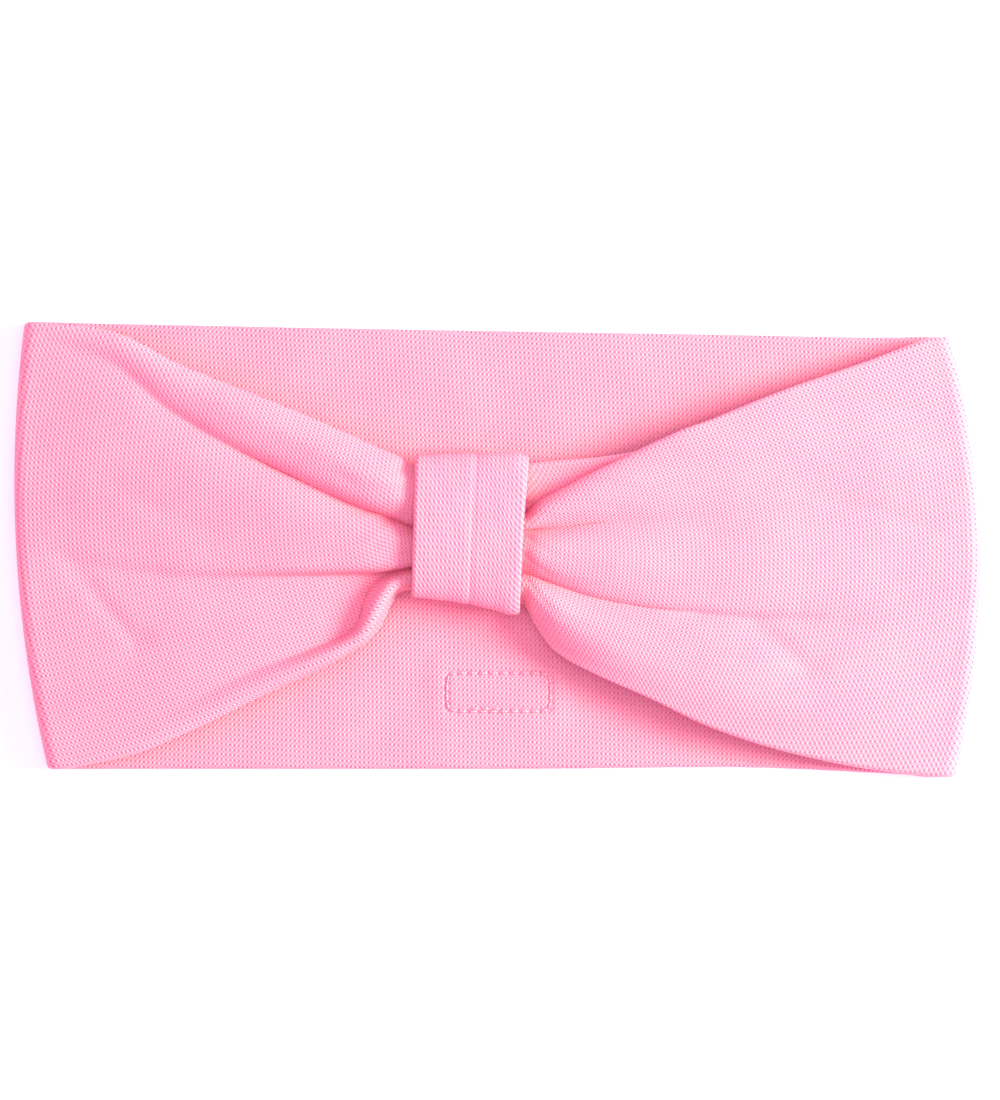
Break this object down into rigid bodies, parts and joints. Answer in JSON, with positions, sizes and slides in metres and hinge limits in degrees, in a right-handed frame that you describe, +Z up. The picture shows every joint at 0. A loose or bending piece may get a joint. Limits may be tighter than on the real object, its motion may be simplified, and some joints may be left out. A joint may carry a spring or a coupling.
{
  "type": "gathered knit headband",
  "caption": "Soft double-layer knit headband lying flat, its wide front gathered at the centre by a narrow folded loop of the same cloth.",
  "frame": {"origin": "middle of the resting face, under the centre of the flat band", "axes": "+X along the band from side fold to side fold, +Y across it towards the crown edge, +Z up from the back panel to the gathered front"},
  "size_m": [0.2124, 0.1002, 0.0163],
  "materials": {
    "knit_cloth": "pink cotton interlock knit, matt, fine even stitches",
    "sewing_thread": "pink polyester sewing thread, slight sheen",
    "label_tape": "plain pale woven satin tape, no marking"
  },
  "bodies": {
    "root": {"outer_layer": "knit_cloth", "inner_layer": "knit_cloth", "crown_edge_seam": "sewing_thread", "neck_edge_seam": "sewing_thread", "band_joining_seam": "sewing_thread", "centre_loop": "knit_cloth", "loop_closing_seam": "sewing_thread", "back_label": "label_tape", "label_stitching": "sewing_thread"}
  },
  "joints": []
}
